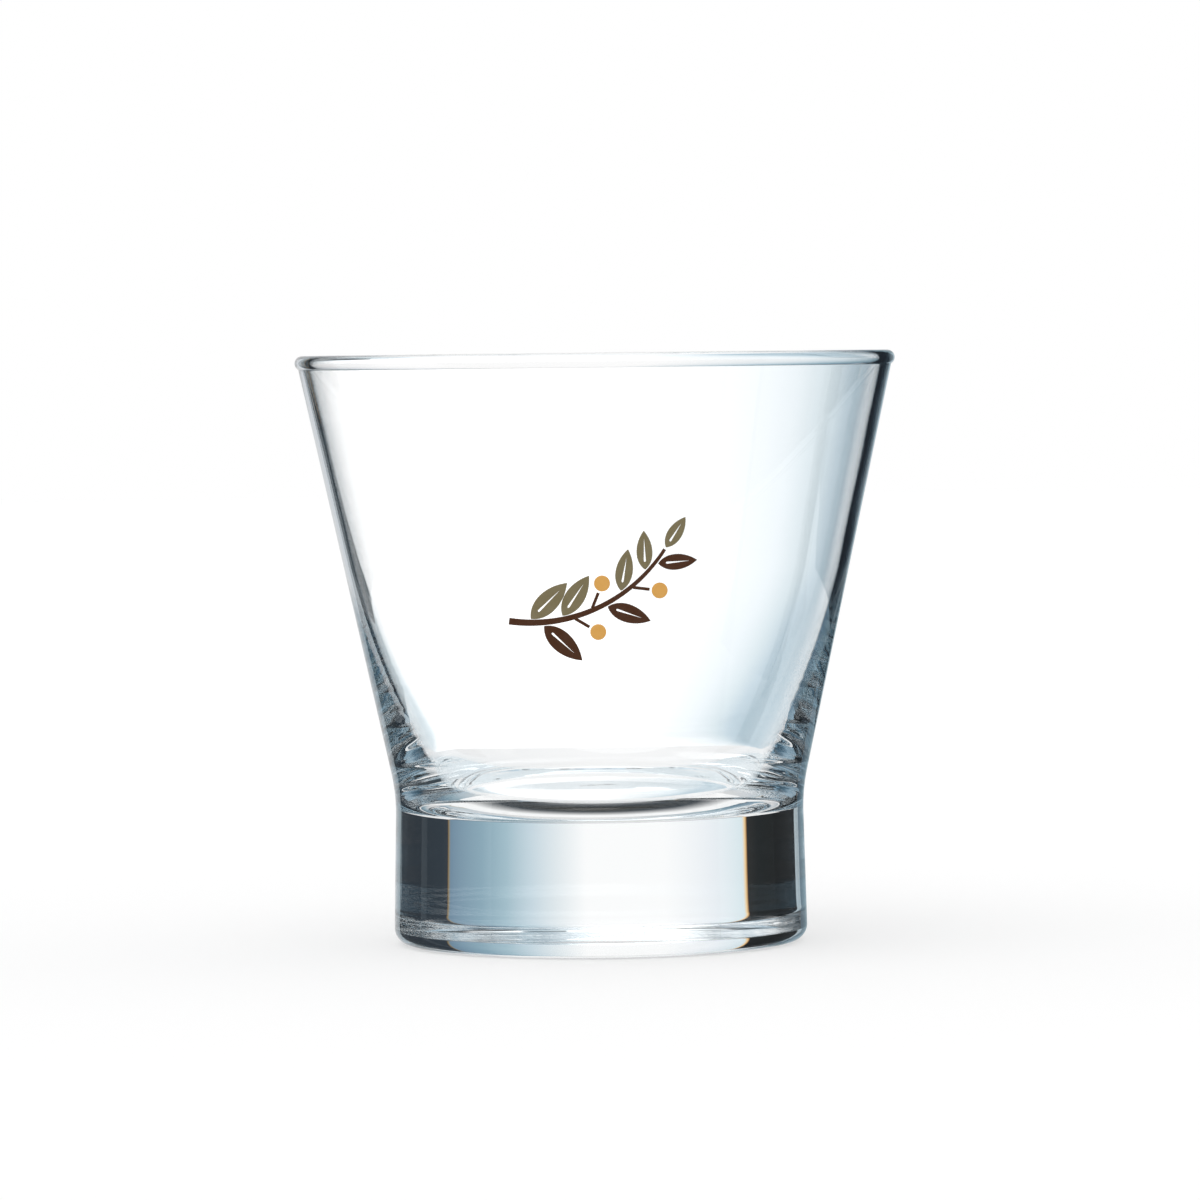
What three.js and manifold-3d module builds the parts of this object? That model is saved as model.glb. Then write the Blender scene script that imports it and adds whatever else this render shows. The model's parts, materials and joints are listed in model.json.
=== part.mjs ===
// A flared tumbler: one pressed glass body with a leaf sprig printed on the front of its bowl.
// Millimetres, +Z up. The origin is on the table under the middle of the foot. The front faces -Y.

import * as THREE from 'three';
import { mergeVertices } from 'three/addons/utils/BufferGeometryUtils.js';
import Module from 'manifold-3d';

// Glass, outside
const rimDiameter = 89; // across the outside of the rim bead
const height = 87.5;
const rimBeadDiameter = 2.2; // fire-polished round along the lip
const neckDiameter = 60.6; // narrowest place, where the bowl runs into the foot
const neckHeight = 19.6;
const waistRadius = 28; // hollow curve from the neck up into the flared wall
const footDiameter = 61.4; // the foot widens a little from the neck down to the table
const footCornerRadius = 2.4;
const bearingRingWidth = 3.5; // flat ring that the glass stands on
const undersideRise = 0.5; // depth of the hollow under the foot

// Glass, inside
const wallThickness = 1.5; // square to the upper wall
const floorHeight = 19; // inside floor above the table
const lowerWallTop = 56; // the inside starts to curve in here, so the wall thickens below
const lowerWallRadius = 150; // slow curve of the thickening wall
const floorCornerRadius = 10; // round corner down to the floor

// Print: a film of fired enamel on the outside of the wall
const filmThickness = 0.12;
const filmGap = 0.04; // between the glass and the film
const printHeight = 51; // middle of the print above the table

// Sprig, in the front plane with its origin at the middle of the stem
const stemBend = 23; // radius of the arc that the stem follows
const stemStartHeading = -8; // degrees from level at the cut end
const stemWidth = 1; // at the cut end
const stemTipWidth = 0.5;
const stemTail = 2.6; // bare stem below the first leaf
const stemTip = 2.6; // stem above the last leaf
const sideStagger = 1.9; // how far the lower side's leaves sit ahead of the upper side's
const leafLength = 7.4; // lowest leaf
const leafTipLength = 5.2; // leaf at the tip of the stem
const leafWidth = 3; // widest place of the lowest leaf
const leafSpread = 46; // degrees between a leaf and the stem
const leafClearance = 0.4; // bare glass between neighbouring leaves
const stemClearance = 0.3; // bare glass between the stem and what grows from it
const leafBellyStart = 0.2; // shares of the leaf's length between which its edges are pulled out
const leafBellyEnd = 0.66;
const veinWidth = 0.32; // bare line along the middle of a leaf
const veinStart = 0.2; // shares of the leaf's length
const veinEnd = 0.8;
const berryDiameter = 2.3;
const berryStalkLength = 2.4;
const berryStalkWidth = 0.45;
const upperSide = ['leaf', 'leaf', 'berry', 'leaf', 'leaf'];
const lowerSide = ['leaf', 'berry', 'leaf', 'berry', 'leaf'];

// Fineness of the facets
const roundSegments = 72;
const arcStep = THREE.MathUtils.degToRad(9);
const arcChord = 5; // longest straight piece of an arc
const outlineSteps = 7;

const clearGlass = { color: 0xeaf3f4, roughness: 0.03, metalness: 0, transparent: true, opacity: 0.35 };
const oliveEnamel = { color: 0x7b7050, roughness: 0.38, metalness: 0 };
const brownEnamel = { color: 0x4f2d16, roughness: 0.38, metalness: 0 };
const amberEnamel = { color: 0xd9a04a, roughness: 0.38, metalness: 0 };

// The wall runs from the bead's centre down to the waist curve. Its lean is the angle at which the outer
// face, half a wall outside that centre, just touches the waist circle.
const beadRadius = rimBeadDiameter / 2;
const beadCentre = new THREE.Vector2(rimDiameter / 2 - beadRadius, height - beadRadius);
const waistCentre = new THREE.Vector2(neckDiameter / 2 + waistRadius, neckHeight);
const toWaist = waistCentre.clone().sub(beadCentre);
const wallLean =
  Math.atan2(-toWaist.y, toWaist.x) -
  Math.acos((waistRadius + wallThickness / 2) / toWaist.length());
const wallNormal = new THREE.Vector2(Math.cos(wallLean), -Math.sin(wallLean));

// Radius of a face parallel to the wall's middle, offset outwards from it, at a height
function wallRadius(offset, z) {
  const start = beadCentre.clone().addScaledVector(wallNormal, offset);
  return start.x - (start.y - z) * Math.tan(wallLean);
}

// Points on a circle, from one angle to another, both ends included
function arcPoints(centre, radius, from, to) {
  const turn = Math.abs(to - from);
  const steps = Math.max(2, Math.ceil(turn / arcStep), Math.ceil((turn * radius) / arcChord));
  const points = [];
  for (let i = 0; i <= steps; i += 1) {
    const angle = from + ((to - from) * i) / steps;
    points.push(
      new THREE.Vector2(centre.x + radius * Math.cos(angle), centre.y + radius * Math.sin(angle)),
    );
  }
  return points;
}

// Hollow under the foot: a shallow dome from the axis down to the bearing ring
function undersidePoints(ringInnerRadius) {
  const domeRadius = (ringInnerRadius ** 2 + undersideRise ** 2) / (2 * undersideRise);
  const domeCentre = new THREE.Vector2(0, undersideRise - domeRadius);
  const edgeAngle = Math.asin(ringInnerRadius / domeRadius);
  const steps = 5;
  const points = [new THREE.Vector2(0, undersideRise)];
  for (let i = 1; i < steps; i += 1) {
    const angle = (edgeAngle * i) / steps;
    points.push(
      new THREE.Vector2(domeRadius * Math.sin(angle), domeCentre.y + domeRadius * Math.cos(angle)),
    );
  }
  points.push(new THREE.Vector2(ringInnerRadius, 0));
  return points;
}

// Inside: straight wall, slow curve, round corner, flat floor. The corner touches the slow curve from
// within, so its centre lies the difference of the two radii from the slow curve's centre.
function insidePoints() {
  const slowStart = new THREE.Vector2(wallRadius(-wallThickness / 2, lowerWallTop), lowerWallTop);
  const slowCentre = slowStart.clone().addScaledVector(wallNormal, -lowerWallRadius);
  const cornerDrop = floorHeight + floorCornerRadius - slowCentre.y;
  const turn = Math.asin(cornerDrop / (lowerWallRadius - floorCornerRadius));
  const cornerCentre = new THREE.Vector2(
    slowCentre.x + (lowerWallRadius - floorCornerRadius) * Math.cos(turn),
    floorHeight + floorCornerRadius,
  );
  const slow = arcPoints(slowCentre, lowerWallRadius, -wallLean, turn);
  const corner = arcPoints(cornerCentre, floorCornerRadius, turn, -Math.PI / 2);
  return [...slow.slice(0, -1), ...corner, new THREE.Vector2(0, floorHeight)];
}

// Half section of the glass, from the axis under the foot, up the outside, over the rim, down the inside
function glassProfile() {
  const footRadius = footDiameter / 2;
  const cornerCentre = new THREE.Vector2(footRadius - footCornerRadius, footCornerRadius);
  const beadOverhang = Math.acos(wallThickness / rimBeadDiameter);
  return [
    ...undersidePoints(cornerCentre.x - bearingRingWidth),
    ...arcPoints(cornerCentre, footCornerRadius, -Math.PI / 2, 0),
    ...arcPoints(waistCentre, waistRadius, Math.PI, Math.PI - wallLean),
    ...arcPoints(
      beadCentre,
      beadRadius,
      -wallLean - beadOverhang,
      Math.PI - wallLean + beadOverhang,
    ),
    ...insidePoints(),
  ];
}

// A profile of radius and height turned about +Z
function revolve(profile) {
  const geometry = new THREE.LatheGeometry(profile, roundSegments);
  geometry.rotateX(Math.PI / 2);
  return geometry;
}

const wasm = await Module();
wasm.setup();

function toSolid(geometry) {
  const bare = geometry.clone();
  bare.deleteAttribute('normal');
  bare.deleteAttribute('uv');
  const merged = mergeVertices(bare);
  return new wasm.Manifold(
    new wasm.Mesh({
      numProp: 3,
      vertProperties: new Float32Array(merged.attributes.position.array),
      triVerts: new Uint32Array(merged.index.array),
    }),
  );
}

function fromSolid(solid) {
  const mesh = solid.getMesh();
  const geometry = new THREE.BufferGeometry();
  geometry.setAttribute('position', new THREE.BufferAttribute(mesh.vertProperties, 3));
  geometry.setIndex(new THREE.BufferAttribute(mesh.triVerts, 1));
  geometry.computeVertexNormals();
  return geometry;
}

// Ring of film round the whole wall, parallel to the glass, from which the artwork is trimmed
function filmRing(halfHeight) {
  const inner = wallThickness / 2 + filmGap;
  const outer = inner + filmThickness;
  const bottom = printHeight - halfHeight;
  const top = printHeight + halfHeight;
  const profile = [
    new THREE.Vector2(wallRadius(inner, bottom), bottom),
    new THREE.Vector2(wallRadius(outer, bottom), bottom),
    new THREE.Vector2(wallRadius(outer, top), top),
    new THREE.Vector2(wallRadius(inner, top), top),
    new THREE.Vector2(wallRadius(inner, bottom), bottom),
  ];
  return toSolid(revolve(profile));
}

// Flat artwork pushed from the axis out through the front of the wall
function artworkPrism(shape) {
  const geometry = new THREE.ExtrudeGeometry(shape, {
    depth: rimDiameter,
    bevelEnabled: false,
    curveSegments: outlineSteps,
  });
  geometry.rotateX(Math.PI / 2);
  geometry.translate(0, 0, printHeight);
  return toSolid(geometry);
}

// The stem is an arc. Leaves on one side stand a pitch apart, which leaves them clear of each other.
const spread = THREE.MathUtils.degToRad(leafSpread);
const leafPitch = (leafWidth + leafClearance) / Math.sin(spread);
const slotCount = Math.max(upperSide.length, lowerSide.length);
const stemLength = stemTail + (slotCount - 1) * leafPitch + sideStagger + stemTip;

function stemHeading(run) {
  return THREE.MathUtils.degToRad(stemStartHeading) + run / stemBend;
}

function stemPoint(run) {
  const heading = stemHeading(run);
  const middle = stemHeading(stemLength / 2);
  return new THREE.Vector2(
    stemBend * (Math.sin(heading) - Math.sin(middle)),
    stemBend * (Math.cos(middle) - Math.cos(heading)),
  );
}

function stemWidthAt(run) {
  return THREE.MathUtils.lerp(stemWidth, stemTipWidth, run / stemLength);
}

// A point that lies a distance from another along a heading
function pointTowards(start, heading, distance) {
  return new THREE.Vector2(
    start.x + distance * Math.cos(heading),
    start.y + distance * Math.sin(heading),
  );
}

// The tapering stem, cut square at both ends
function stemShape() {
  const steps = 2 * outlineSteps;
  const lower = [];
  const upper = [];
  for (let i = 0; i <= steps; i += 1) {
    const run = (stemLength * i) / steps;
    const across = stemHeading(run) + Math.PI / 2;
    lower.push(pointTowards(stemPoint(run), across, -stemWidthAt(run) / 2));
    upper.unshift(pointTowards(stemPoint(run), across, stemWidthAt(run) / 2));
  }
  return new THREE.Shape([...lower, ...upper]);
}

// A straight stalk from the middle of the stem
function stalkShape(run, heading) {
  const foot = stemPoint(run);
  const end = pointTowards(foot, heading, stemWidthAt(run) / 2 + berryStalkLength);
  const across = heading + Math.PI / 2;
  const half = berryStalkWidth / 2;
  return new THREE.Shape([
    pointTowards(foot, across, -half),
    pointTowards(end, across, -half),
    pointTowards(end, across, half),
    pointTowards(foot, across, half),
  ]);
}

// A pointed leaf along a heading, fullest a little below the middle, with a bare vein
function leafShape(foot, heading, length) {
  const width = (leafWidth * length) / leafLength;
  const pull = (2 * width) / 3; // a cubic edge stands three quarters of its pulls off the chord
  const at = (share, side) =>
    pointTowards(pointTowards(foot, heading, share * length), heading + Math.PI / 2, side);
  const edge = (side) =>
    new THREE.CubicBezierCurve(
      foot,
      at(leafBellyStart, side * pull),
      at(leafBellyEnd, side * pull),
      at(1, 0),
    );
  const right = edge(-1).getPoints(outlineSteps);
  const left = edge(1).getPoints(outlineSteps).reverse();
  const shape = new THREE.Shape([...right, ...left.slice(1, -1)]);
  const vein = [at(veinStart, veinWidth / 2), at(veinEnd, 0), at(veinStart, -veinWidth / 2)];
  shape.holes.push(new THREE.Path(vein));
  return shape;
}

function berryShape(run, heading) {
  const reach = stemWidthAt(run) / 2 + berryStalkLength + stemClearance + berryDiameter / 2;
  const centre = pointTowards(stemPoint(run), heading, reach);
  const shape = new THREE.Shape();
  shape.absarc(centre.x, centre.y, berryDiameter / 2, 0, 2 * Math.PI);
  return shape;
}

const tumbler = new THREE.Group();

function addPiece(name, geometry, look) {
  const mesh = new THREE.Mesh(geometry, new THREE.MeshStandardMaterial(look));
  mesh.name = name;
  tumbler.add(mesh);
}

addPiece('tumbler_glass', revolve(glassProfile()), clearGlass);

const film = filmRing(stemLength / 2 + leafLength);

function addPrint(name, prism, look) {
  addPiece(name, fromSolid(film.intersect(prism)), look);
}

// What grows from one side of the stem, from the cut end to the tip
function addSide(side, slots, turn, firstRun, leafLook) {
  slots.forEach((kind, slot) => {
    const run = firstRun + slot * leafPitch;
    const heading = stemHeading(run) + turn;
    const name = `print_${kind}_${side}_${slot + 1}`;
    if (kind === 'berry') {
      stemPrism = stemPrism.add(artworkPrism(stalkShape(run, heading)));
      addPrint(name, artworkPrism(berryShape(run, heading)), amberEnamel);
    } else {
      const foot = pointTowards(stemPoint(run), heading, stemWidthAt(run) / 2 + stemClearance);
      const length = THREE.MathUtils.lerp(leafLength, leafTipLength, slot / slotCount);
      addPrint(name, artworkPrism(leafShape(foot, heading, length)), leafLook);
    }
  });
}

let stemPrism = artworkPrism(stemShape());
addSide('upper', upperSide, spread, stemTail, oliveEnamel);
addSide('lower', lowerSide, -spread, stemTail + sideStagger, brownEnamel);
addPrint('print_stem', stemPrism, brownEnamel);

const tipHeading = stemHeading(stemLength);
const tipFoot = pointTowards(stemPoint(stemLength), tipHeading, stemClearance);
addPrint('print_leaf_tip', artworkPrism(leafShape(tipFoot, tipHeading, leafTipLength)), oliveEnamel);

export default tumbler;
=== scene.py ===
import json
import math

import bpy
import numpy as np
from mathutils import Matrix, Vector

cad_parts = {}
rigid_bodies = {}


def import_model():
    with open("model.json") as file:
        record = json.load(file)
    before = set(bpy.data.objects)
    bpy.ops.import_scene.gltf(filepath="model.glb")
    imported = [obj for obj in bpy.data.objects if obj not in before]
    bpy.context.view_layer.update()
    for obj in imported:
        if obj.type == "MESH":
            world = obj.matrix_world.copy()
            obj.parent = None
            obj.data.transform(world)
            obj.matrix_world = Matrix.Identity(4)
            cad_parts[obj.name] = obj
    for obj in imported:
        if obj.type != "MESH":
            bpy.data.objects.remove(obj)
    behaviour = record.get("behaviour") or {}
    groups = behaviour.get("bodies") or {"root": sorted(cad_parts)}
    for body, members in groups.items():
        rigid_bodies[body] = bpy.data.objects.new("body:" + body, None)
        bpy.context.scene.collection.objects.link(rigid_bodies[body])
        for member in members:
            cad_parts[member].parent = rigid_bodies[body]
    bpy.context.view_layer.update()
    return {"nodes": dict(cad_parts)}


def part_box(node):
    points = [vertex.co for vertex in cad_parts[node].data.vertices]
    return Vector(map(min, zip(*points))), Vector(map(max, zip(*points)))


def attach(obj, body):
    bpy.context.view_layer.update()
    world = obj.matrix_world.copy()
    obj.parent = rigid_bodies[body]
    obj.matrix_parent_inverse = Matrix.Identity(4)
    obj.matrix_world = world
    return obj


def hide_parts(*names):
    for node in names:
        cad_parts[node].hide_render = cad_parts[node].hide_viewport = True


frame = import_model()
print("frame loaded:", len(frame["nodes"]), "CAD nodes")

mm = 0.001
white = (1.0, 1.0, 1.0)
lightBounces = 200  # light in the lower wall and the foot is reflected many times
scene = bpy.context.scene
scene.view_settings.view_transform = "Standard"
scene.cycles.max_bounces = lightBounces
scene.cycles.transmission_bounces = lightBounces
scene.cycles.glossy_bounces = lightBounces


# Small helpers for meshes and node trees

def lerp(a, b, share):
    return a + (b - a) * share


def grey(level):
    return (level, level, level)


def rgba(colour):
    return (*colour, 1)


def arc(centre, radius, start, end, steps):
    # points on a circle: centre + radius * (cos a, sin a), a running from start to end
    angle = np.linspace(start, end, steps)
    return np.stack([centre[0] + radius * np.cos(angle), centre[1] + radius * np.sin(angle)], axis=1)


def gridQuads(rows, columns, wrapRows=False, wrapColumns=True):
    # quads of a rows by columns grid; a direction that wraps joins its last line to its first
    lastRow = rows if wrapRows else rows - 1
    lastColumn = columns if wrapColumns else columns - 1
    i, j = np.meshgrid(np.arange(lastRow), np.arange(lastColumn), indexing="ij")
    nextI = (i + 1) % rows
    nextJ = (j + 1) % columns
    corners = [i * columns + j, i * columns + nextJ, nextI * columns + nextJ, nextI * columns + j]
    return np.stack(corners, axis=-1).reshape(-1, 4)


def addMesh(name, points, faces, material):
    mesh = bpy.data.meshes.new(name)
    mesh.from_pydata(points.tolist(), [], faces)
    mesh.shade_smooth()
    mesh.materials.append(material)
    obj = bpy.data.objects.new(name, mesh)
    scene.collection.objects.link(obj)
    return obj


def addNode(tree, kind, inputs=None, **settings):
    node = tree.nodes.new(kind)
    for key, value in settings.items():
        setattr(node, key, value)
    for socket, value in (inputs or {}).items():
        if isinstance(value, bpy.types.NodeSocket):
            tree.links.new(value, node.inputs[socket])
        else:
            node.inputs[socket].default_value = value
    return node


def newMaterial(name):
    material = bpy.data.materials.new(name)
    material.use_nodes = True
    tree = material.node_tree
    tree.nodes.clear()
    return material, tree, addNode(tree, "ShaderNodeOutputMaterial")


def newGroup(name, inputs, outputs):
    # shader node group; inputs and outputs are pairs of a socket's name and its kind
    group = bpy.data.node_groups.new(name, "ShaderNodeTree")
    for label, kind in inputs:
        group.interface.new_socket(label, in_out="INPUT", socket_type="NodeSocket" + kind)
    for label, kind in outputs:
        group.interface.new_socket(label, in_out="OUTPUT", socket_type="NodeSocket" + kind)
    return group, addNode(group, "NodeGroupInput"), addNode(group, "NodeGroupOutput")


def objectPlace(tree):
    return addNode(tree, "ShaderNodeTexCoord").outputs["Object"]


def noiseNode(tree, place, scale, detail, roughness=0.5):
    return addNode(tree, "ShaderNodeTexNoise", {
        "Vector": place, "Scale": scale, "Detail": detail, "Roughness": roughness,
    }).outputs["Fac"]


def rangeNode(tree, value, start, end, low, high):
    return addNode(tree, "ShaderNodeMapRange", {
        "Value": value, "From Min": start, "From Max": end, "To Min": low, "To Max": high,
    }).outputs["Result"]


def mathNode(tree, operation, *values, clamp=False):
    inputs = dict(enumerate(values))
    return addNode(tree, "ShaderNodeMath", inputs, operation=operation, use_clamp=clamp).outputs[0]


def mixNode(tree, share, first, second, blend="MIX"):
    inputs = {0: share, 6: first, 7: second}
    return addNode(tree, "ShaderNodeMix", inputs, data_type="RGBA", blend_type=blend).outputs[2]


def rampNode(tree, value, start, end, stops):
    # colour read along a value; stops are pairs of a place between start and end and a colour
    share = addNode(tree, "ShaderNodeMapRange", {"Value": value, "From Min": start, "From Max": end})
    ramp = addNode(tree, "ShaderNodeValToRGB", {"Fac": share.outputs["Result"]})
    elements = ramp.color_ramp.elements
    while len(elements) < len(stops):
        elements.new(0.5)
    for element, (place, colour) in zip(elements, stops):
        element.position = (place - start) / (end - start)
        element.color = rgba(colour)
    return ramp.outputs["Color"]


# Glass body

tumblerShape = {
    "rimBeadRadius": 1.1 * mm,
    "neckRadius": 30.3 * mm,
    "neckHeight": 19.6 * mm,
    "waistRadius": 28 * mm,
    "footRadius": 30.7 * mm,
    "footCornerRadius": 2.4 * mm,
    "bearingRingWidth": 3.5 * mm,
    "undersideRise": 0.5 * mm,
    "wallThickness": 1.5 * mm,
    "floorHeight": 19 * mm,
    "lowerWallTop": 56 * mm,
    "lowerWallRadius": 150 * mm,
    "floorCornerRadius": 10 * mm,
    "rippleHeights": (22 * mm, 50 * mm),
    "rippleWave": 1.45 * mm,
    "rippleDepth": 0.0008 * mm,
    "secondRippleDepth": 0.7,  # share of the first ripple's depth
    "secondRippleTurns": 0.63,  # share of the first ripple's turns
    "beadRingShare": 0.97,
    "segments": 256,
    "steps": {
        "underside": 10, "ring": 6, "footCorner": 18, "side": 10, "waist": 24, "wall": 24, "bead": 40,
        "inside": 18, "lowerWall": 150, "floorCorner": 24, "floor": 10,
    },
}


def wallLine():
    # the straight wall touches the waist circle and passes half a wall outside the bead's centre
    shape = tumblerShape
    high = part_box("tumbler_glass")[1]
    bead = shape["rimBeadRadius"]
    beadCentre = np.array([high.x - bead, high.z - bead])
    waistCentre = np.array([shape["neckRadius"] + shape["waistRadius"], shape["neckHeight"]])
    reach = waistCentre - beadCentre
    touch = (shape["waistRadius"] + shape["wallThickness"] / 2) / np.hypot(*reach)
    lean = math.atan2(-reach[1], reach[0]) - math.acos(touch)
    return beadCentre, waistCentre, lean


def wallRadius(offset, z):
    # radius of a face parallel to the middle of the wall, offset outwards from it
    beadCentre, _, lean = wallLine()
    startR = beadCentre[0] + offset * math.cos(lean)
    startZ = beadCentre[1] - offset * math.sin(lean)
    return startR - (startZ - z) * math.tan(lean)


def wallRipple(z):
    # rings left by the press on the lower inside: two sines of z whose beat makes them uneven,
    # under a hump sin^2 that dies out at both ends
    shape = tumblerShape
    low, high = shape["rippleHeights"]
    share = np.clip((z - low) / (high - low), 0, 1)
    turns = 2 * math.pi * z / shape["rippleWave"]
    hump = np.sin(math.pi * share) ** 2
    second = shape["secondRippleDepth"] * np.sin(shape["secondRippleTurns"] * turns)
    return shape["rippleDepth"] * hump * (np.sin(turns) + second)


def tumblerProfile():
    # half section from the axis under the foot, up the outside, over the rim and down the inside
    shape = tumblerShape
    steps = shape["steps"]
    beadCentre, waistCentre, lean = wallLine()
    foot = shape["footRadius"]
    corner = shape["footCornerRadius"]
    ringInner = foot - corner - shape["bearingRingWidth"]
    underR = np.linspace(0, ringInner, steps["underside"])
    underside = np.stack([underR, shape["undersideRise"] * (1 - (underR / ringInner) ** 2)], axis=1)
    ringR = np.linspace(ringInner, foot - corner, steps["ring"])
    ring = np.stack([ringR, 0 * ringR], axis=1)[1:-1]
    footCorner = arc((foot - corner, corner), corner, -math.pi / 2, 0, steps["footCorner"])
    neck = (shape["neckRadius"], shape["neckHeight"])
    side = np.linspace((foot, corner), neck, steps["side"])[1:-1]
    waist = arc(waistCentre, shape["waistRadius"], math.pi, math.pi - lean, steps["waist"])
    half = shape["wallThickness"] / 2
    overhang = math.acos(half / shape["rimBeadRadius"])
    beadStart = -lean - overhang
    beadEnd = math.pi - lean + overhang
    bead = arc(beadCentre, shape["rimBeadRadius"], beadStart, beadEnd, steps["bead"])
    # one ring close to each end of the bead keeps the bead's smooth shading off the wall
    beadRing = shape["beadRingShare"]
    wall = np.linspace(waist[-1], bead[0], steps["wall"])[1:-1]
    wall = np.concatenate([wall, [lerp(wall[-1], bead[0], beadRing)]])
    slowTop = shape["lowerWallTop"]
    slowRadius = shape["lowerWallRadius"]
    cornerRadius = shape["floorCornerRadius"]
    floorZ = shape["floorHeight"]
    slowCentre = np.array([wallRadius(-half, slowTop), slowTop])
    slowCentre = slowCentre + slowRadius * np.array([-math.cos(lean), math.sin(lean)])
    cornerDrop = floorZ + cornerRadius - slowCentre[1]
    cornerAcross = math.sqrt((slowRadius - cornerRadius) ** 2 - cornerDrop ** 2)
    cornerCentre = slowCentre + np.array([cornerAcross, cornerDrop])
    turn = math.atan2(cornerDrop, cornerAcross)
    slow = arc(slowCentre, slowRadius, -lean, turn, steps["lowerWall"])
    slow[:, 0] += wallRipple(slow[:, 1])
    floorCorner = arc(cornerCentre, cornerRadius, turn, -math.pi / 2, steps["floorCorner"])[1:]
    inside = np.linspace(bead[-1], slow[0], steps["inside"])[1:-1]
    inside = np.concatenate([[lerp(inside[0], bead[-1], beadRing)], inside])
    floor = np.linspace(floorCorner[-1], (0, floorZ), steps["floor"])[1:]
    outer = [underside, ring, footCorner, side, waist, wall, bead]
    return np.concatenate(outer + [inside, slow, floorCorner, floor])


def revolve(profile, segments):
    # profile point (r, z) and angle a give (r cos a, r sin a, z); the two axis points become poles
    angle = np.arange(segments) * (2 * math.pi / segments)
    ringR = profile[1:-1, 0][:, None]
    ringZ = profile[1:-1, 1][:, None]
    rings = np.stack([ringR * np.cos(angle), ringR * np.sin(angle), ringZ + 0 * angle], axis=-1)
    poles = np.array([[0, 0, profile[0, 1]], [0, 0, profile[-1, 1]]])
    points = np.concatenate([rings.reshape(-1, 3), poles])
    rows = len(profile) - 2
    near = np.arange(segments)
    after = (near + 1) % segments
    last = (rows - 1) * segments
    bottomFan = np.stack([np.full(segments, rows * segments), after, near], axis=1)
    topFan = np.stack([np.full(segments, rows * segments + 1), last + near, last + after], axis=1)
    faces = gridQuads(rows, segments).tolist() + bottomFan.tolist() + topFan.tolist()
    return points, faces


glassFinish = {
    "patchScale": 55,
    "patchDetail": 4,
    "patchRoughness": 0.6,
    "patchRange": (0.4, 0.75),
    "patchHaze": 0.014,
    "waveScale": 70,
    "waveDetail": 1,
    "waveStrength": 0.12,
    "waveDepth": 0.2 * mm,
    "refraction": 1.52,
    "tint": (0.72, 0.9, 0.93),
    "tintDensity": 1.2,
}


def pressedSurface():
    # fire-polished pressed glass: long soft waves from the mould, and faint cloudy patches of wiped film
    finish = glassFinish
    group, given, result = newGroup("pressed_surface", [("Place", "Vector")], [
        ("Roughness", "Float"), ("Height", "Float"),
    ])
    place = given.outputs["Place"]
    patches = noiseNode(group, place, finish["patchScale"], finish["patchDetail"], finish["patchRoughness"])
    haze = rangeNode(group, patches, *finish["patchRange"], 0, finish["patchHaze"])
    waves = noiseNode(group, place, finish["waveScale"], finish["waveDetail"])
    group.links.new(haze, result.inputs["Roughness"])
    group.links.new(waves, result.inputs["Height"])
    return group


def clearGlass():
    finish = glassFinish
    material, tree, output = newMaterial("pressed_clear_glass")
    surface = addNode(tree, "ShaderNodeGroup", {"Place": objectPlace(tree)}, node_tree=pressedSurface())
    bump = addNode(tree, "ShaderNodeBump", {
        "Height": surface.outputs["Height"],
        "Strength": finish["waveStrength"],
        "Distance": finish["waveDepth"],
    })
    shader = addNode(tree, "ShaderNodeBsdfPrincipled", {
        "Base Color": rgba(white),
        "Roughness": surface.outputs["Roughness"],
        "IOR": finish["refraction"],
        "Transmission Weight": 1.0,
        "Normal": bump.outputs["Normal"],
    })
    absorb = addNode(tree, "ShaderNodeVolumeAbsorption", {
        "Color": rgba(finish["tint"]), "Density": finish["tintDensity"],
    })
    tree.links.new(shader.outputs["BSDF"], output.inputs["Surface"])
    tree.links.new(absorb.outputs["Volume"], output.inputs["Volume"])
    return material


points, faces = revolve(tumblerProfile(), tumblerShape["segments"])
tumbler = addMesh("tumbler_glass_body", points, faces, clearGlass())
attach(tumbler, "root")
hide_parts("tumbler_glass")
print("glass body:", len(points), "points")


# Printed sprig: films of fired enamel on the front of the wall

sprig = {
    "printHeight": 51 * mm,
    "filmThickness": 0.06 * mm,
    "filmGap": 0.012 * mm,
    "stemBend": 23 * mm,
    "stemStartHeading": math.radians(-8),
    "stemWidth": 1 * mm,
    "stemTipWidth": 0.5 * mm,
    "stemTail": 2.6 * mm,
    "stemTip": 2.6 * mm,
    "sideStagger": 1.9 * mm,
    "leafLength": 7.4 * mm,
    "leafTipLength": 5.2 * mm,
    "leafWidth": 3 * mm,
    "leafSpread": math.radians(46),
    "leafClearance": 0.4 * mm,
    "leafBelly": (0.2, 0.66),
    "stemClearance": 0.3 * mm,
    "veinWidth": 0.32 * mm,
    "veinSpan": (0.2, 0.8),
    "veinRound": 0.08,
    "berryDiameter": 2.3 * mm,
    "stalkLength": 2.4 * mm,
    "stalkWidth": 0.45 * mm,
    "stalkGap": 0.02 * mm,
    "upperSide": ["leaf", "leaf", "berry", "leaf", "leaf"],
    "lowerSide": ["leaf", "berry", "leaf", "berry", "leaf"],
    "leafSteps": 40,
    "stemSteps": 120,
    "stalkSteps": 12,
    "berrySegments": 64,
    # sections of the films: a place across the film, and a height in film thicknesses
    "leafSection": [
        (0, 0.4), (0.03, 0.85), (0.1, 1), (0.5, 1), (0.9, 1), (0.97, 0.85), (1, 0.4),
        (1, 0), (0.5, 0), (0, 0),
    ],
    "stripSection": [
        (-1, 0), (-1, 0.4), (-0.9, 0.85), (-0.7, 1), (0, 1), (0.7, 1), (0.9, 0.85), (1, 0.4), (1, 0),
    ],
    "berrySection": [
        (0, 0), (0.5, 0), (1, 0), (1, 0.4), (0.97, 0.85), (0.9, 1), (0.6, 1), (0.3, 1), (0, 1),
    ],
}
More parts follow.
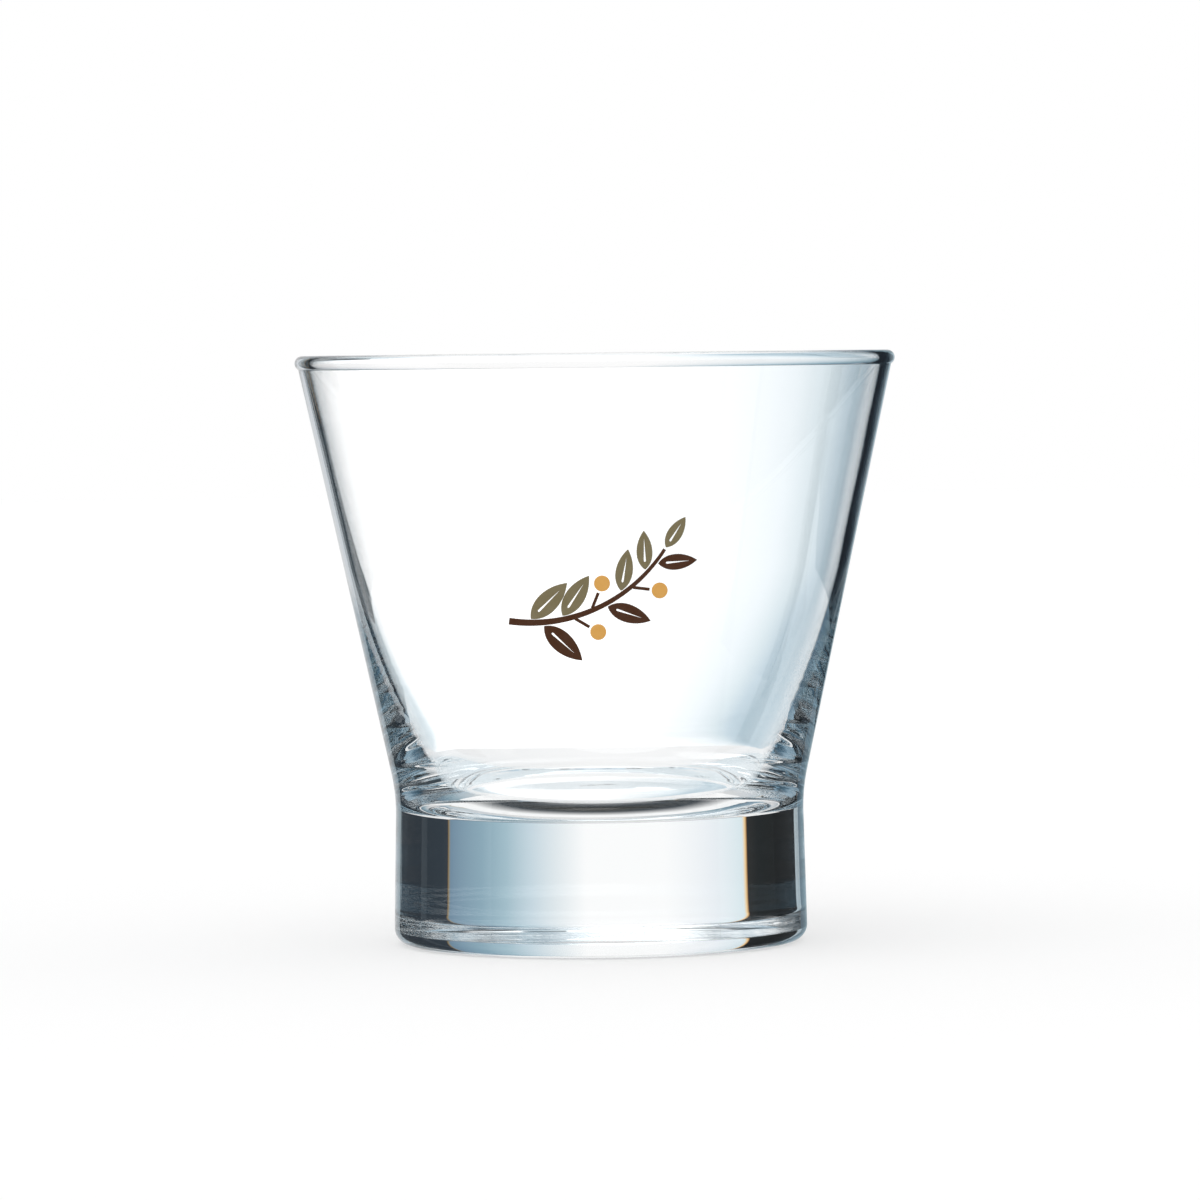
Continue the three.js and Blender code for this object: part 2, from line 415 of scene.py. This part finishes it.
leafPitch = (sprig["leafWidth"] + sprig["leafClearance"]) / math.sin(sprig["leafSpread"])
slotCount = len(sprig["upperSide"])
stemLength = sprig["stemTail"] + (slotCount - 1) * leafPitch + sprig["sideStagger"] + sprig["stemTip"]


# Flat artwork is worked out in complex numbers: x is the real part and height the imaginary part

def stemHeading(run):
    return sprig["stemStartHeading"] + run / sprig["stemBend"]


def stemPoint(run):
    # the stem is an arc through the middle of the print: bend * (sin h - sin m + i (cos m - cos h))
    heading = stemHeading(run)
    middle = stemHeading(stemLength / 2)
    return sprig["stemBend"] * (np.sin(heading) - np.sin(middle) + 1j * (np.cos(middle) - np.cos(heading)))


def stemWidthAt(run):
    return lerp(sprig["stemWidth"], sprig["stemTipWidth"], run / stemLength)


def placeOnWall(flat, rise):
    # artwork pushed straight back on to the wall: y = -sqrt(r^2 - x^2), r being the wall's radius
    # plus the rise
    z = sprig["printHeight"] + flat.imag
    radius = wallRadius(tumblerShape["wallThickness"] / 2 + sprig["filmGap"] + rise, z)
    return np.stack([flat.real, -np.sqrt(radius ** 2 - flat.real ** 2), z], axis=-1)


def filmSection(name):
    # columns of places across a film and of heights above the glass
    section = np.array(sprig[name])
    return section[:, :1], section[:, 1:] * sprig["filmThickness"]


def leafFilm(foot, heading, length):
    # ring of film between the leaf's edge, two cubic curves, and its bare vein, a slim drop; control
    # points two thirds of a width from the middle line make the belly one width across
    along = (1 - np.cos(np.linspace(0, math.pi, sprig["leafSteps"] + 1))) / 2
    pull = 2 / 3 * sprig["leafWidth"] * length / sprig["leafLength"]
    first, second = [share * length + 1j * pull for share in sprig["leafBelly"]]
    back = 1 - along
    edge = 3 * back ** 2 * along * first + 3 * back * along ** 2 * second + along ** 3 * length
    start, end = sprig["veinSpan"]
    roundStart = np.sqrt(1 - (1 - np.clip(along / sprig["veinRound"], 0, 1)) ** 2)
    vein = lerp(start, end, along) * length + 0.5j * sprig["veinWidth"] * back * roundStart
    outer = np.concatenate([edge.conj(), edge[-2:0:-1]])
    inner = np.concatenate([vein.conj(), vein[-2:0:-1]])
    share, rise = filmSection("leafSection")
    flat = foot + np.exp(1j * heading) * lerp(outer, inner, share)
    return placeOnWall(flat, rise).reshape(-1, 3), gridQuads(*flat.shape, wrapRows=True).tolist()


def berryFilm(centre):
    # a disc with a softened edge, turned about its own middle
    profile = np.array(sprig["berrySection"]) * (sprig["berryDiameter"] / 2, sprig["filmThickness"])
    points, faces = revolve(profile, sprig["berrySegments"])
    return placeOnWall(centre + points[:, 0] + 1j * points[:, 1], points[:, 2]), faces


def stripFilm(middle, across, width):
    # a film along a line: at each point the section runs over the top from the right edge to the left
    share, rise = filmSection("stripSection")
    flat = middle + across * share * width / 2
    rows, columns = flat.shape
    faces = gridQuads(rows, columns, wrapRows=True, wrapColumns=False).tolist()
    starts = np.arange(rows) * columns
    faces.append(starts.tolist())
    faces.append((starts + columns - 1)[::-1].tolist())
    return placeOnWall(flat, rise).reshape(-1, 3), faces


def stemFilm(berries):
    # the tapering stem, and a straight stalk to every berry, each a closed film
    run = np.linspace(0, stemLength, sprig["stemSteps"])
    films = [stripFilm(stemPoint(run), 1j * np.exp(1j * stemHeading(run)), stemWidthAt(run))]
    stalk = np.linspace(sprig["stalkGap"], sprig["stalkLength"], sprig["stalkSteps"])
    for berryRun, heading in berries:
        reach = stemWidthAt(berryRun) / 2 + stalk
        line = stemPoint(berryRun) + np.exp(1j * heading) * reach
        films.append(stripFilm(line, 1j * np.exp(1j * heading), sprig["stalkWidth"]))
    points, faces, count = [], [], 0
    for filmPoints, filmFaces in films:
        points.append(filmPoints)
        faces += [[corner + count for corner in face] for face in filmFaces]
        count += len(filmPoints)
    return np.concatenate(points), faces


inkFinish = {
    "noiseRoughness": 0.6,
    "laydownScale": 420,
    "laydownDetail": 5,
    "laydownRange": (0.35, 0.7),
    "laydownThin": 0.45,
    "grainScale": 5200,
    "grainDetail": 3,
    "pinholeScale": 2600,
    "pinholeEdge": (0.06, 0.12),
    "roughness": (0.3, 0.46),
    "skinStrength": 0.25,
    "skinDepth": 0.01 * mm,
    "refraction": 1.5,
}


def firedEnamel():
    # screen-printed and fired ink: uneven laydown, tiny pinholes and a fine orange-peel skin
    finish = inkFinish
    group, given, result = newGroup("fired_enamel", [
        ("Place", "Vector"), ("Ink", "Color"), ("Thin Ink", "Color"),
    ], [("Color", "Color"), ("Roughness", "Float"), ("Height", "Float")])
    place = given.outputs["Place"]
    rough = finish["noiseRoughness"]
    uneven = noiseNode(group, place, finish["laydownScale"], finish["laydownDetail"], rough)
    laydown = rangeNode(group, uneven, *finish["laydownRange"], 0, 1)
    grain = noiseNode(group, place, finish["grainScale"], finish["grainDetail"], rough)
    cells = addNode(group, "ShaderNodeTexVoronoi", {"Vector": place, "Scale": finish["pinholeScale"]})
    pinholes = rangeNode(group, cells.outputs["Distance"], *finish["pinholeEdge"], 1, 0)
    thin = mathNode(group, "MULTIPLY_ADD", laydown, finish["laydownThin"], pinholes, clamp=True)
    colour = mixNode(group, thin, given.outputs["Ink"], given.outputs["Thin Ink"])
    roughness = rangeNode(group, laydown, 0, 1, *finish["roughness"])
    group.links.new(colour, result.inputs["Color"])
    group.links.new(roughness, result.inputs["Roughness"])
    group.links.new(mathNode(group, "SUBTRACT", grain, pinholes), result.inputs["Height"])
    return group


enamelGroup = firedEnamel()


def enamel(name, ink, thinInk):
    material, tree, output = newMaterial(name)
    layer = addNode(tree, "ShaderNodeGroup", {
        "Place": objectPlace(tree), "Ink": rgba(ink), "Thin Ink": rgba(thinInk),
    }, node_tree=enamelGroup)
    bump = addNode(tree, "ShaderNodeBump", {
        "Height": layer.outputs["Height"],
        "Strength": inkFinish["skinStrength"],
        "Distance": inkFinish["skinDepth"],
    })
    shader = addNode(tree, "ShaderNodeBsdfPrincipled", {
        "Base Color": layer.outputs["Color"],
        "Roughness": layer.outputs["Roughness"],
        "IOR": inkFinish["refraction"],
        "Normal": bump.outputs["Normal"],
    })
    tree.links.new(shader.outputs["BSDF"], output.inputs["Surface"])
    return material


inks = {
    "olive_enamel": enamel("fired_olive", (0.198, 0.162, 0.08), (0.25, 0.21, 0.115)),
    "brown_enamel": enamel("fired_brown", (0.078, 0.026, 0.008), (0.115, 0.043, 0.016)),
    "amber_enamel": enamel("fired_amber", (0.694, 0.352, 0.069), (0.76, 0.43, 0.12)),
}


def addFilm(node, film, slot):
    obj = addMesh(node.replace("print", "enamel"), *film, inks[slot])
    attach(obj, "root")
    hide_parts(node)


def addSide(side, turn, firstRun, leafInk):
    # what grows from one side of the stem, from the cut end to the tip; gives the berries' runs and
    # headings
    berries = []
    for slot, kind in enumerate(sprig[side + "Side"]):
        run = firstRun + slot * leafPitch
        heading = stemHeading(run) + turn
        node = f"print_{kind}_{side}_{slot + 1}"
        reach = stemWidthAt(run) / 2 + sprig["stemClearance"]
        if kind == "berry":
            reach += sprig["stalkLength"] + sprig["berryDiameter"] / 2
            addFilm(node, berryFilm(stemPoint(run) + reach * np.exp(1j * heading)), "amber_enamel")
            berries.append((run, heading))
        else:
            length = lerp(sprig["leafLength"], sprig["leafTipLength"], slot / slotCount)
            addFilm(node, leafFilm(stemPoint(run) + reach * np.exp(1j * heading), heading, length), leafInk)
    return berries


berries = addSide("upper", sprig["leafSpread"], sprig["stemTail"], "olive_enamel")
berries += addSide("lower", -sprig["leafSpread"], sprig["stemTail"] + sprig["sideStagger"], "brown_enamel")
addFilm("print_stem", stemFilm(berries), "brown_enamel")
tipHeading = stemHeading(stemLength)
tipFoot = stemPoint(stemLength) + sprig["stemClearance"] * np.exp(1j * tipHeading)
addFilm("print_leaf_tip", leafFilm(tipFoot, tipHeading, sprig["leafTipLength"]), "olive_enamel")
print("print: stem, tip leaf and", len(sprig["upperSide"] + sprig["lowerSide"]), "films at its sides")


# Studio: cards, floor, world and lamp

studio = {
    "cardDistance": 500 * mm,
    "cardBottom": -700 * mm,
    "cardTop": 780 * mm,
    "backSpan": (-316 * mm, 343 * mm),
    "leftSpan": (-270 * mm, 261 * mm),
    "rightSpan": (-200 * mm, 198 * mm),
    "frontSpan": (-285 * mm, 330 * mm),
    "underHeight": -300 * mm,
    "underRadius": 1500 * mm,
    "underSegments": 64,
    "underWhite": 600 * mm,
    "footShade": (450 * mm, 125 * mm),
    "footShadeFront": -25 * mm,
    "footShadeStops": [(0, (0.05, 0.045, 0.035)), (0.6, (0.05, 0.06, 0.07)), (2, white)],
    "flagDistance": 100 * mm,
    "flags": {  # what sees the flag, its tone, and its outline across and up in millimetres
        "left_flag": ("wall", (0.03, 0.038, 0.044), [(-125, -40), (-85, -40), (-85, 140), (-125, 140)]),
        "right_flag": ("wall", (0.014, 0.018, 0.024), [
            (55, 20), (150, 20), (150, 140), (80, 140), (73, 100), (66, 69),
        ]),
        "bowl_flag": ("bowl", (0.03, 0.038, 0.044), [
            (-62, 25), (-55, 38), (-57, 47), (-68, 57), (-76, 69), (-82, 90), (-82, 140),
            (-125, 140), (-125, 25),
        ]),
    },
    "lowSpread": [(-300 * mm, 1.5), (-77 * mm, 1.3), (-30 * mm, 1.22), (35 * mm, 1.0)],
    "glowHeights": (-60 * mm, 20 * mm),
    "oneWall": 2,  # surfaces that light crosses in one wall or in the foot
    "fewReflections": 3,
    "onceBack": 0.7,
    "onceSide": 0.4,
    "onceFront": 0.1,
    "oftenBack": (0.4, 0.5, 0.58),
    "oftenSide": (0.27, 0.39, 0.48),
    "oftenFront": (0.03, 0.035, 0.04),
    "steelBlue": (0.165, 0.265, 0.365),
    "nearBlack": (0.009, 0.01, 0.01),
    "darkSlate": (0.024, 0.034, 0.046),
    "softWhite": (0.9, 0.93, 0.95),
    "bowlWhite": (0.8, 0.87, 0.91),
    "overheadLean": -0.3,
    "overheadEdge": (0.68, 0.82),
    "darkSpread": 0.4,
    "frontEdge": -0.15,
    "paintLight": 0.95,
}


def throughBowl(tree, path):
    # 1 for rays that have been through more than one wall, 0 for those in one wall or in the foot
    one = studio["oneWall"]
    return rangeNode(tree, path.outputs["Transmission Depth"], one, one + 1, 0, 1)


def wasReflected(tree, path):
    # 1 for rays reflected on or in the glass, 0 for straight ones
    return rangeNode(tree, path.outputs["Glossy Depth"], 0, 1, 0, 1)


def seenByGlass(tree, path):
    return mathNode(tree, "MAXIMUM", path.outputs["Is Transmission Ray"], path.outputs["Is Glossy Ray"])


def bounced(tree, path, colour, once, often):
    # a card's colour, dimmed for rays reflected a few times on their way and tinted for more
    few = studio["fewReflections"]
    stops = [(0, white), (1, grey(once)), (few, grey(once)), (few + 1, often)]
    tint = rampNode(tree, path.outputs["Glossy Depth"], 0, few + 1, stops)
    return mixNode(tree, 1.0, colour, tint, "MULTIPLY")


def showColour(tree, output, colour):
    light = addNode(tree, "ShaderNodeEmission", {"Color": colour})
    tree.links.new(light.outputs["Emission"], output.inputs["Surface"])


def cardLight(name, axis, stops, once, often):
    # light of a card, its colour read along one axis; both walls of the bowl show it pale
    material, tree, output = newMaterial(name)
    split = addNode(tree, "ShaderNodeSeparateXYZ", {"Vector": objectPlace(tree)})
    path = addNode(tree, "ShaderNodeLightPath")
    edge = rampNode(tree, split.outputs[axis], stops[0][0], stops[-1][0], stops)
    dimmed = bounced(tree, path, edge, once, often)
    showColour(tree, output, mixNode(tree, throughBowl(tree, path), dimmed, rgba(studio["bowlWhite"])))
    return material


def backLight(footStops, bowlStops, glowStops):
    # light behind the glass, read across; what both walls of the bowl show turns blue sooner lower down
    material, tree, output = newMaterial("back_card_light")
    split = addNode(tree, "ShaderNodeSeparateXYZ", {"Vector": objectPlace(tree)})
    path = addNode(tree, "ShaderNodeLightPath")
    spreadStops = [(height, grey(share)) for height, share in studio["lowSpread"]]
    spread = rampNode(tree, split.outputs["Z"], spreadStops[0][0], spreadStops[-1][0], spreadStops)
    across = mathNode(tree, "MULTIPLY", split.outputs["X"], spread)
    foot = rampNode(tree, split.outputs["X"], *studio["backSpan"], footStops)
    shade = rampNode(tree, across, *studio["backSpan"], bowlStops)
    glow = rampNode(tree, split.outputs["X"], *studio["backSpan"], glowStops)
    high = rangeNode(tree, split.outputs["Z"], *studio["glowHeights"], 0, 1)
    bowl = mixNode(tree, high, shade, glow, "ADD")
    colour = mixNode(tree, throughBowl(tree, path), foot, bowl)
    showColour(tree, output, bounced(tree, path, colour, studio["onceBack"], studio["oftenBack"]))
    return material


def flagLight(name, seenBy, tone):
    # a dark flag for light that is reflected inside a wall, or for light through both walls of the bowl
    material, tree, output = newMaterial(name)
    path = addNode(tree, "ShaderNodeLightPath")
    shown = wasReflected(tree, path) if seenBy == "wall" else throughBowl(tree, path)
    clear = addNode(tree, "ShaderNodeBsdfTransparent")
    dark = addNode(tree, "ShaderNodeEmission", {"Color": rgba(tone)})
    mix = addNode(tree, "ShaderNodeMixShader", {0: shown, 1: clear.outputs[0], 2: dark.outputs[0]})
    tree.links.new(mix.outputs[0], output.inputs["Surface"])
    return material


def underLight():
    # the card below the table, white and bluer further out; reflected light sees it dark under the foot
    material, tree, output = newMaterial("under_card_light")
    place = objectPlace(tree)
    path = addNode(tree, "ShaderNodeLightPath")
    across, along = studio["footShade"]
    middle = addNode(tree, "ShaderNodeVectorMath", {
        0: place, 1: (0, studio["footShadeFront"], 0),
    }, operation="ADD")
    oval = addNode(tree, "ShaderNodeVectorMath", {
        0: middle.outputs[0], 1: (1 / across, 1 / along, 0),
    }, operation="MULTIPLY")
    away = addNode(tree, "ShaderNodeVectorMath", {0: oval.outputs[0]}, operation="LENGTH")
    shadeStops = studio["footShadeStops"]
    spot = rampNode(tree, away.outputs["Value"], 0, shadeStops[-1][0], shadeStops)
    reach = addNode(tree, "ShaderNodeVectorMath", {0: place}, operation="LENGTH")
    radius = studio["underRadius"]
    table = rampNode(tree, reach.outputs["Value"], 0, radius, [
        (studio["underWhite"], white), (radius, studio["bowlWhite"]),
    ])
    showColour(tree, output, mixNode(tree, wasReflected(tree, path), table, spot))
    return material


def addCard(name, points, material, inGloss=True):
    card = addMesh(name, np.array(points), [list(range(len(points)))], material)
    card.visible_camera = False
    card.visible_diffuse = False
    card.visible_shadow = False
    card.visible_glossy = inGloss


def standingCard(name, ends, material, inGloss=True):
    start, end = ends
    low, high = studio["cardBottom"], studio["cardTop"]
    addCard(name, [(*start, low), (*end, low), (*end, high), (*start, high)], material, inGloss)


# Colours of the cards, as pairs of a place across the card and a light level

far = studio["cardDistance"]
backLeft, backRight = studio["backSpan"]
footStops = [
    (backLeft, (0.2, 0.07, 0.01)),
    (backLeft + 9 * mm, (0.95, 0.66, 0.32)),
    (backLeft + 20 * mm, (0.74, 0.86, 0.9)),
    (-200 * mm, (0.9, 0.94, 0.98)),
    (-98 * mm, (1.06, 1.06, 1.06)),
    (20 * mm, (1.06, 1.06, 1.06)),
    (64 * mm, (0.83, 0.89, 0.92)),
    (107 * mm, (0.62, 0.74, 0.81)),
    (155 * mm, (0.4, 0.56, 0.64)),
    (214 * mm, (0.265, 0.41, 0.5)),
    (backRight - 14 * mm, studio["steelBlue"]),
    (backRight - 7 * mm, (0.3, 0.24, 0.13)),
    (backRight, (0.1, 0.05, 0.02)),
]
bowlStops = [
    (backLeft, (0.6, 0.72, 0.78)),
    (-205 * mm, (0.9, 1.02, 1.08)),
    (-170 * mm, (1.4, 1.43, 1.45)),
    (-130 * mm, (1.5, 1.5, 1.5)),
    (0, (1.4, 1.4, 1.4)),
    (25 * mm, (1.16, 1.19, 1.2)),
    (60 * mm, (0.98, 1.05, 1.09)),
    (80 * mm, (0.81, 0.92, 0.97)),
    (100 * mm, (0.6, 0.74, 0.83)),
    (125 * mm, (0.46, 0.61, 0.7)),
    (200 * mm, (0.54, 0.69, 0.78)),
    (backRight, (0.54, 0.69, 0.78)),
]
glowStops = [
    (backLeft, (0, 0, 0)), (112 * mm, (0, 0, 0)), (135 * mm, (0.12, 0.1, 0.1)),
    (160 * mm, (0.55, 0.52, 0.5)), (backRight, (0.7, 0.66, 0.62)),
]
sideStops = [
    (-far, white), (-30 * mm, white), (60 * mm, (0.3, 0.4, 0.46)), (192 * mm, (0.13, 0.17, 0.19)),
    (198 * mm, (0.55, 0.66, 0.72)), (261 * mm, (0.6, 0.7, 0.75)),
]
plainStops = [(-far, white), (far, white)]
sideLight = cardLight("side_card_light", "Y", sideStops, studio["onceSide"], studio["oftenSide"])
plainLight = cardLight("plain_card_light", "X", plainStops, studio["onceFront"], studio["oftenFront"])
behindLight = backLight(footStops, bowlStops, glowStops)
standingCard("back_card", [(x, far) for x in studio["backSpan"]], behindLight)
standingCard("left_card", [(-far, y) for y in studio["leftSpan"]], sideLight)
standingCard("right_card", [(far, y) for y in studio["rightSpan"]], sideLight)
standingCard("front_card", [(x, -far) for x in studio["frontSpan"]], plainLight, inGloss=False)
for name, (seenBy, tone, outline) in studio["flags"].items():
    points = [(x * mm, studio["flagDistance"], z * mm) for x, z in outline]
    addCard(name, points, flagLight(name + "_light", seenBy, tone))
turnRound = np.arange(studio["underSegments"]) * (2 * math.pi / studio["underSegments"])
underDisc = np.stack([
    studio["underRadius"] * np.cos(turnRound),
    studio["underRadius"] * np.sin(turnRound),
    0 * turnRound + studio["underHeight"],
], axis=1)
addCard("under_card", underDisc.tolist(), underLight(), inGloss=False)

floorLook = {
    "size": 3.0,
    "height": -0.1 * mm,
    "bounceTone": 0.92,
    "seenTone": 0.45,
    "seenGlow": 0.5,
}


def paleFloor():
    # diffuse floor that keeps the shadow; rays that leave the glass pass through it to the cards
    material, tree, output = newMaterial("pale_floor")
    path = addNode(tree, "ShaderNodeLightPath")
    byCamera = path.outputs["Is Camera Ray"]
    tone = mixNode(tree, byCamera, rgba(grey(floorLook["bounceTone"])), rgba(grey(floorLook["seenTone"])))
    paint = addNode(tree, "ShaderNodeBsdfDiffuse", {"Color": tone})
    lift = mathNode(tree, "MULTIPLY", byCamera, floorLook["seenGlow"])
    glow = addNode(tree, "ShaderNodeEmission", {"Strength": lift})
    lit = addNode(tree, "ShaderNodeAddShader", {0: paint.outputs[0], 1: glow.outputs[0]})
    clear = addNode(tree, "ShaderNodeBsdfTransparent")
    mix = addNode(tree, "ShaderNodeMixShader", {
        0: seenByGlass(tree, path), 1: lit.outputs[0], 2: clear.outputs[0],
    })
    tree.links.new(mix.outputs[0], output.inputs["Surface"])
    return material


size = floorLook["size"]
corners = [(-size, -size), (size, -size), (size, size), (-size, size)]
floorPoints = np.array([(*corner, floorLook["height"]) for corner in corners])
floor = addMesh("floor", floorPoints, [[0, 1, 2, 3]], paleFloor())

# light overhead, read across from left to right by the sideways part of the ray's direction
overheadStops = [
    (-0.8, (0.1, 0.13, 0.15)),
    (-0.6, (0.8, 0.85, 0.87)),
    (-0.5, studio["softWhite"]),
    (0.1, studio["softWhite"]),
    (0.22, (0.72, 0.79, 0.83)),
    (0.45, (0.42, 0.55, 0.63)),
    (0.65, (0.14, 0.22, 0.3)),
    (0.8, studio["darkSlate"]),
]


def studioWorld():
    # camera sees white; one wall or the foot sees near black up to the soft white overhead; the bowl, and
    # straight rays that leave to the front, see it pale all round; paint sees even light
    world = bpy.data.worlds.new("studio")
    world.use_nodes = True
    scene.world = world
    tree = world.node_tree
    tree.nodes.clear()
    output = addNode(tree, "ShaderNodeOutputWorld")
    path = addNode(tree, "ShaderNodeLightPath")
    direction = addNode(tree, "ShaderNodeTexCoord").outputs["Generated"]
    split = addNode(tree, "ShaderNodeSeparateXYZ", {"Vector": direction})
    x, y, z = [split.outputs[axis] for axis in "XYZ"]
    edgeStart, edgeEnd = studio["overheadEdge"]
    rise = addNode(tree, "ShaderNodeMapRange", {
        "Value": mathNode(tree, "MULTIPLY_ADD", y, -studio["overheadLean"], z),
        "From Min": edgeStart,
        "From Max": edgeEnd,
    }, interpolation_type="SMOOTHSTEP")
    spread = studio["darkSpread"]
    darkStops = [(-spread, studio["nearBlack"]), (spread, studio["darkSlate"])]
    dark = rampNode(tree, x, -spread, spread, darkStops)
    overhead = rampNode(tree, x, overheadStops[0][0], overheadStops[-1][0], overheadStops)
    edge = mixNode(tree, rise.outputs["Result"], dark, overhead)
    front = rangeNode(tree, y, 0, studio["frontEdge"], 0, 1)
    straight = rangeNode(tree, path.outputs["Glossy Depth"], 0, 1, 1, 0)
    straightFront = mathNode(tree, "MULTIPLY", front, straight)
    pale = mathNode(tree, "MAXIMUM", throughBowl(tree, path), straightFront)
    seen = mixNode(tree, pale, edge, rgba(studio["bowlWhite"]))
    shared = mixNode(tree, seenByGlass(tree, path), rgba(grey(studio["paintLight"])), seen)
    colour = mixNode(tree, path.outputs["Is Camera Ray"], shared, rgba(white))
    back = addNode(tree, "ShaderNodeBackground", {"Color": colour})
    tree.links.new(back.outputs[0], output.inputs["Surface"])


studioWorld()

keyLight = {
    "strength": 0.63,
    "spread": math.radians(50),
    "tilt": math.radians(25),
    "turn": math.radians(-30),
}
lamp = bpy.data.lights.new("key_light", "SUN")
lamp.energy = keyLight["strength"]
lamp.angle = keyLight["spread"]
lampObject = bpy.data.objects.new("key_light", lamp)
lampObject.rotation_euler = (keyLight["tilt"], 0, keyLight["turn"])
scene.collection.objects.link(lampObject)

photoView = {
    "distance": 1.0,
    "height": 88.5 * mm,
    "sideways": 0.4 * mm,
    "pitch": math.radians(2.16),
    "roll": math.radians(-0.65),
    "lens": 202,
    "sensor": 36,
}
lens = bpy.data.cameras.new("photo_camera")
lens.lens = photoView["lens"]
lens.sensor_width = photoView["sensor"]
camera = bpy.data.objects.new("photo_camera", lens)
camera.location = (photoView["sideways"], -photoView["distance"], photoView["height"])
camera.rotation_mode = "ZXY"
camera.rotation_euler = (math.pi / 2 - photoView["pitch"], 0, photoView["roll"])
scene.collection.objects.link(camera)
scene.camera = camera
print("studio and camera ready")
